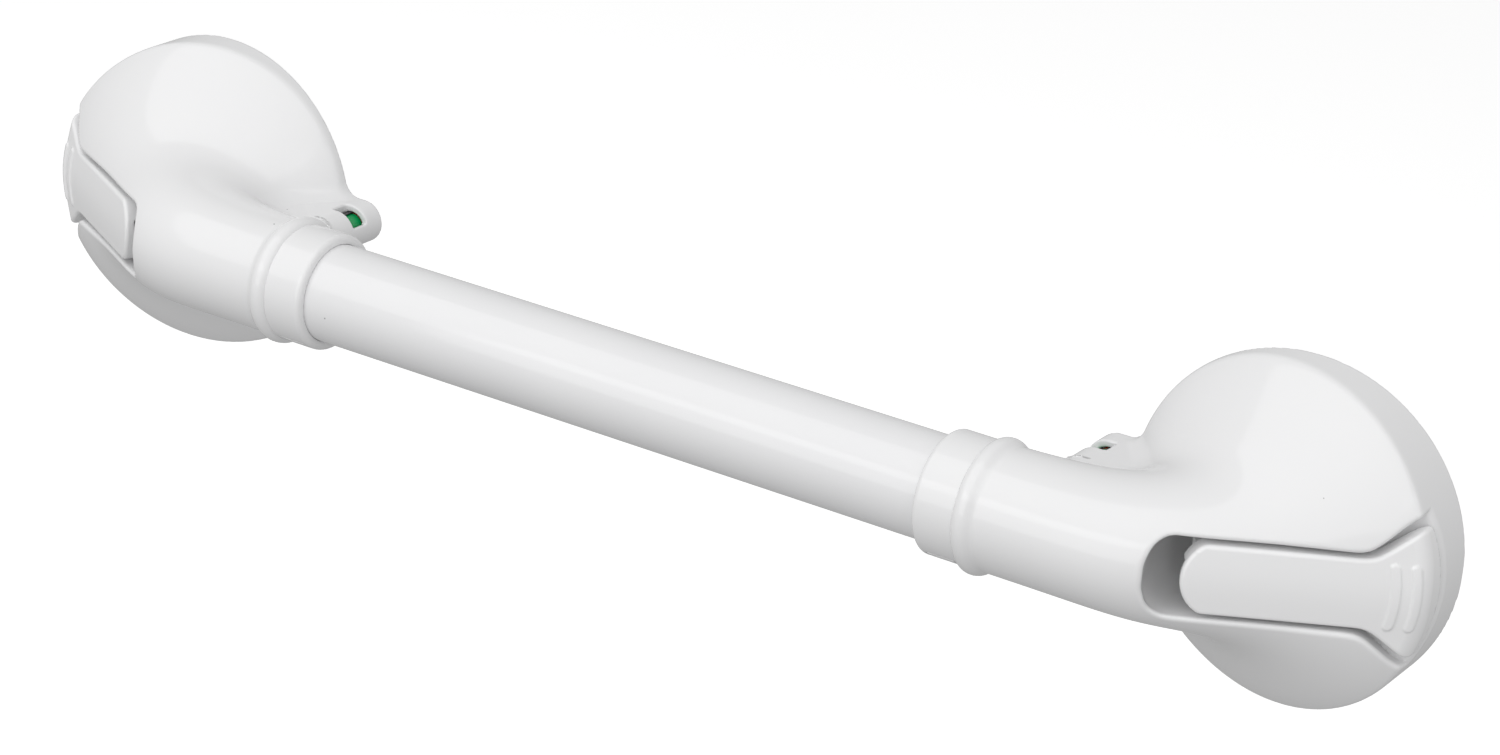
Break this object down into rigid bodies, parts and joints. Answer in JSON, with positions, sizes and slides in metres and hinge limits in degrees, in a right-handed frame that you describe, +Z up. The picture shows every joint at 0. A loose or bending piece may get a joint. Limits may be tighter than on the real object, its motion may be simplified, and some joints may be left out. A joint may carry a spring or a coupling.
{
  "type": "suction grab bar",
  "caption": "White straight grab bar with a domed suction head at each end, each with a flush flip lever, a round neck, a collar and a small vacuum indicator window.",
  "frame": {"origin": "on the wall plane, midway between the two suction heads", "axes": "+X along the bar, +Y into the wall (the user is on the -Y side), +Z up"},
  "size_m": [0.5808, 0.0837, 0.1198],
  "materials": {
    "white_plastic": "glossy injection-moulded ABS",
    "grip_plastic": "smooth gloss white sleeve",
    "aluminium": "drawn tube, mill finish",
    "steel": "stainless steel",
    "spring_steel": "drawn spring wire",
    "cam_plastic": "glass-filled nylon, satin",
    "pad_rubber": "soft translucent grey rubber",
    "indicator_black": "satin black",
    "indicator_green": "glossy green",
    "indicator_red": "glossy red"
  },
  "bodies": {
    "bar": {"grip_tube": "grip_plastic", "core_tube": "aluminium", "housing_right": "white_plastic", "collar_right": "white_plastic", "suction_pad_right": "pad_rubber", "return_spring_right": "spring_steel", "cam_plate_right": "cam_plastic", "plate_screws_right": "steel", "tube_screws_right": "steel", "indicator_spring_right": "spring_steel", "housing_left": "white_plastic", "collar_left": "white_plastic", "suction_pad_left": "pad_rubber", "return_spring_left": "spring_steel", "cam_plate_left": "cam_plastic", "plate_screws_left": "steel", "tube_screws_left": "steel", "indicator_spring_left": "spring_steel"},
    "pull_right": {"stem_right": "steel", "lever_pin_right": "steel", "lock_nut_right": "steel", "pressure_plate_right": "cam_plastic"},
    "lever_right": {"lever_right": "white_plastic"},
    "indicator_right": {"indicator_plunger_right": "indicator_black", "indicator_green_right": "indicator_green", "indicator_red_right": "indicator_red"},
    "pull_left": {"stem_left": "steel", "lever_pin_left": "steel", "lock_nut_left": "steel", "pressure_plate_left": "cam_plastic"},
    "lever_left": {"lever_left": "white_plastic"},
    "indicator_left": {"indicator_plunger_left": "indicator_black", "indicator_green_left": "indicator_green", "indicator_red_left": "indicator_red"}
  },
  "joints": [
    {"name": "pull_right", "type": "slide", "parent": "bar", "child": "pull_right", "axis": [0, 1, 0], "range_m": [0, 0.0035], "deforming": ["suction_pad_right", "return_spring_right"]},
    {"name": "lever_right", "type": "hinge", "parent": "pull_right", "child": "lever_right", "pos_m": [0.23, -0.048, 0], "axis": [0, 0, -1], "range_deg": [0, 90]},
    {"name": "indicator_right", "type": "slide", "parent": "bar", "child": "indicator_right", "axis": [0, -1, 0], "range_m": [0, 0.005], "deforming": ["indicator_spring_right"]},
    {"name": "pull_left", "type": "slide", "parent": "bar", "child": "pull_left", "axis": [0, 1, 0], "range_m": [0, 0.0035], "deforming": ["suction_pad_left", "return_spring_left"]},
    {"name": "lever_left", "type": "hinge", "parent": "pull_left", "child": "lever_left", "pos_m": [-0.23, -0.048, 0], "axis": [0, 0, 1], "range_deg": [0, 90]},
    {"name": "indicator_left", "type": "slide", "parent": "bar", "child": "indicator_left", "axis": [0, -1, 0], "range_m": [0, 0.005], "deforming": ["indicator_spring_left"]}
  ],
  "couplings": [
    {"joint": "lever_right", "follows": "pull_right", "rad_per_m": 448.8},
    {"joint": "indicator_right", "follows": "pull_right", "ratio": 1.4285},
    {"joint": "lever_left", "follows": "pull_left", "rad_per_m": 448.8},
    {"joint": "indicator_left", "follows": "pull_left", "ratio": 1.4285}
  ]
}
